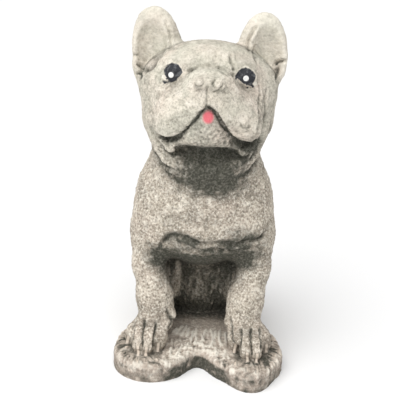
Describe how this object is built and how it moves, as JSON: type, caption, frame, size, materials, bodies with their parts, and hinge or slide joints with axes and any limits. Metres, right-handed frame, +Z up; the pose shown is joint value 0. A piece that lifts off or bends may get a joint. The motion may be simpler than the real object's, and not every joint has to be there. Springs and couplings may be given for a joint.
{
  "type": "bulldog garden statue",
  "caption": "Cast stone garden statue of a sitting French bulldog with upright ears, looking slightly up, on a low base with rounded front lobes and a notch between the paws.",
  "frame": {"origin": "middle of the bounding box in plan, on the flat underside", "axes": "+Z up, -Y where the dog looks, +X towards the dog's left"},
  "size_m": [0.1853, 0.2381, 0.3811],
  "materials": {
    "cast_stone": "rough cast stone"
  },
  "bodies": {
    "root": {"bulldog_statue": "cast_stone"}
  },
  "joints": []
}
